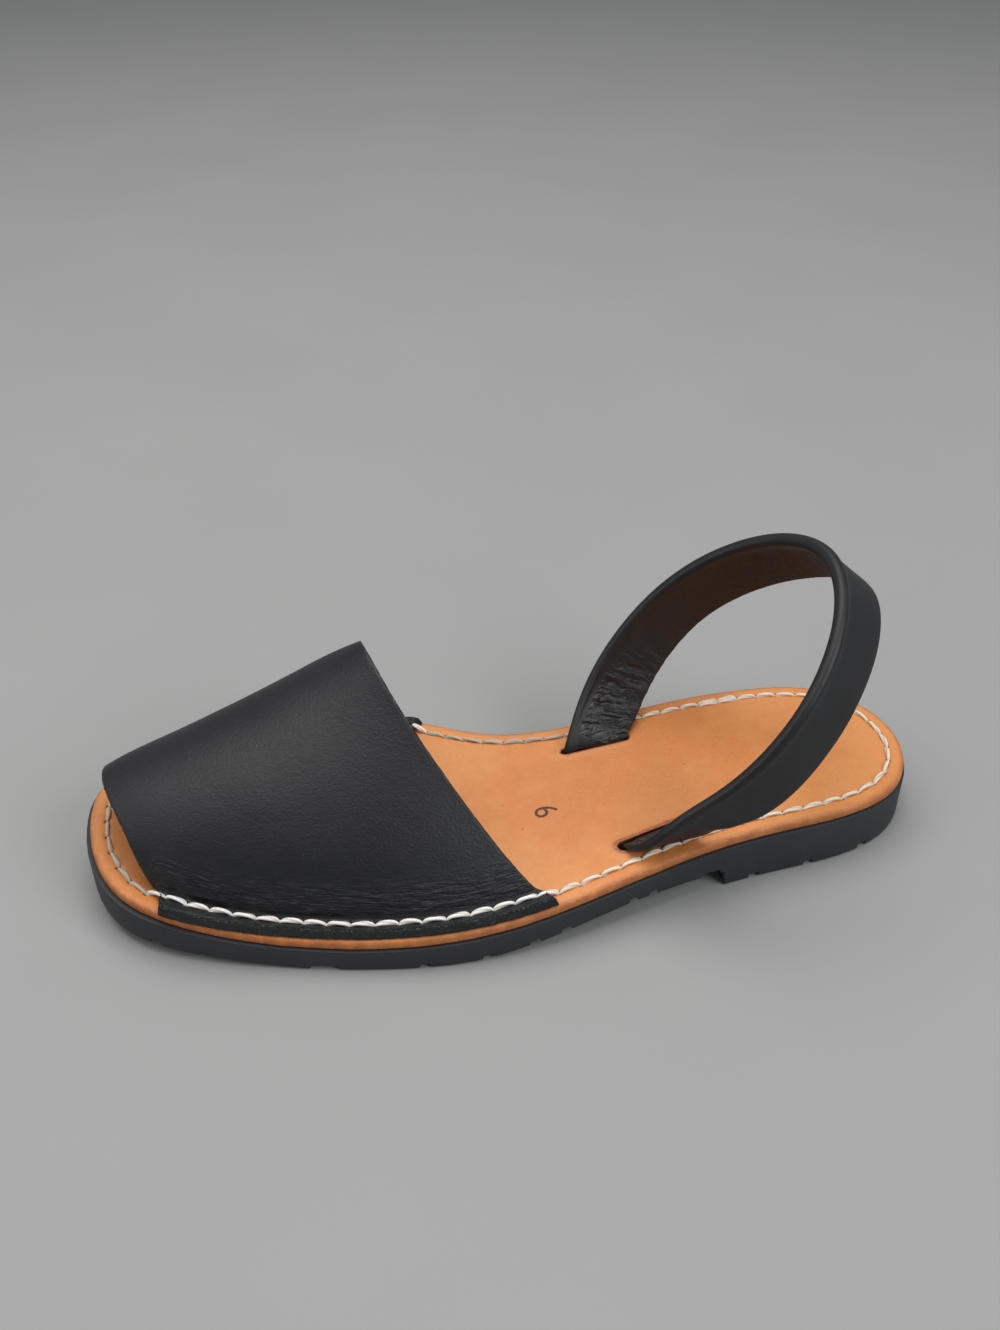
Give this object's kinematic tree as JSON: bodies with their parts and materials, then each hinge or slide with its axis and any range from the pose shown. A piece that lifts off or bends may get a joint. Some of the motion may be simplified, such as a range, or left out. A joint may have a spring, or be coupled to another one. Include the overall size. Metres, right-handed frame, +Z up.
{
  "type": "avarca sandal",
  "caption": "Left slingback sandal: black leather vamp open at toe and throat, heel strap in two slots, tan leather insole on a low-heeled rubber outsole.",
  "frame": {"origin": "on the floor, under the middle of the sole's length and width", "axes": "+X to the toe, +Y to the outer (little toe) side, +Z up"},
  "size_m": [0.242, 0.0974, 0.0861],
  "materials": {
    "charcoal_rubber": "matt moulded rubber",
    "tan_leather": "vegetable-tanned, waxed, burnished edge",
    "black_leather": "smooth box leather, soft sheen",
    "strap_leather": "smooth leather with a rolled rim",
    "natural_thread": "thick waxed two-ply cord"
  },
  "bodies": {
    "root": {"outsole": "charcoal_rubber", "insole": "tan_leather", "upper": "black_leather", "heel_strap": "strap_leather"}
  },
  "joints": []
}
